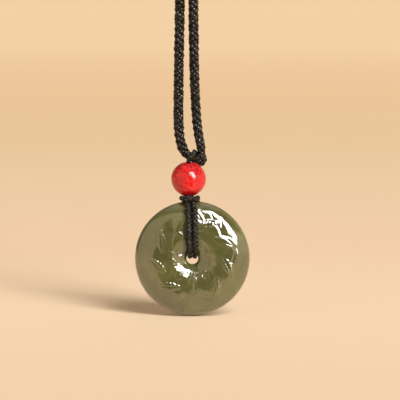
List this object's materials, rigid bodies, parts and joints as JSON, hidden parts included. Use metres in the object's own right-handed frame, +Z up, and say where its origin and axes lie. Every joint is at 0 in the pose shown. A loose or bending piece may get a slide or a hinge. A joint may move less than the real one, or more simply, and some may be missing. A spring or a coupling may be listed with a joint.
{
  "type": "jade disc pendant on a plaited cord",
  "caption": "Carved jade doughnut disc hung in a thin cord through a round red bead, hooked over the foot of a long plaited neck cord.",
  "frame": {"origin": "the inside of the neck cord's top, where a hook or a neck carries the cord", "axes": "+Z up, opposite to the pull of the hanging pendant; -Y is the carved front; the disc's axis runs along Y"},
  "size_m": [0.0264, 0.0097, 0.3326],
  "materials": {
    "neck_cord": "glossy black round plait of waxed cotton thread",
    "cord_joiner": "tight whipping of the same black thread",
    "pendant_cord": "fine black plait, slightly glossy",
    "red_bead": "polished red stone with darker mottling",
    "jade_disc": "polished olive green jade, a little translucent at the thin edge"
  },
  "bodies": {
    "neck_loop": {"neck_cord": "neck_cord", "cord_joiner": "cord_joiner"},
    "pendant": {"pendant_cord": "pendant_cord", "red_bead": "red_bead", "jade_disc": "jade_disc"}
  },
  "joints": [
    {"name": "pendant_swing", "type": "hinge", "parent": "neck_loop", "child": "pendant", "pos_m": [0, 0, -0.294], "axis": [1, 0, 0], "range_deg": [-20, 20]}
  ]
}
